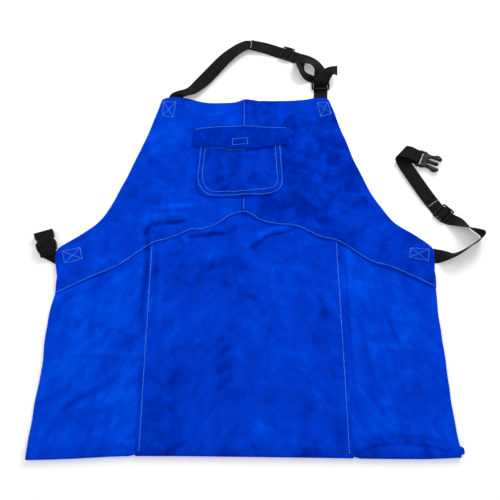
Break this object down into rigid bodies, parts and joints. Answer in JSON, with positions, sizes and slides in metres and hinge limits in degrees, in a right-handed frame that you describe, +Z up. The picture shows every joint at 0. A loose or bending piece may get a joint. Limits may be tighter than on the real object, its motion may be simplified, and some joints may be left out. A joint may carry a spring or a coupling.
{
  "type": "leather work apron",
  "caption": "Split-leather work apron with chest pocket, webbing neck loop and side-release waist strap, laid flat with its hem folded under.",
  "frame": {"origin": "centre of the whole object's footprint, on the surface it lies on", "axes": "+Z up out of the face that shows, +Y from the hem towards the neck, +X the viewer's right"},
  "size_m": [0.7322, 0.767, 0.0263],
  "materials": {
    "suede": "split-leather suede, matt with short nap",
    "flap_suede": "split-leather suede, darker and closer nap",
    "webbing": "woven polypropylene webbing, matt",
    "buckle_plastic": "moulded plastic, semi-gloss"
  },
  "bodies": {
    "root": {"skirt_left": "suede", "skirt_center": "suede", "skirt_right": "suede", "bib_left": "suede", "bib_right": "suede", "pocket": "suede", "pocket_flap": "flap_suede", "neck_strap": "webbing", "neck_strap_tab": "webbing", "waist_strap": "webbing", "buckle_tab": "webbing", "neck_slider": "buckle_plastic", "neck_ring": "buckle_plastic", "waist_slider": "buckle_plastic", "buckle_male": "buckle_plastic", "buckle_female": "buckle_plastic"}
  },
  "joints": []
}
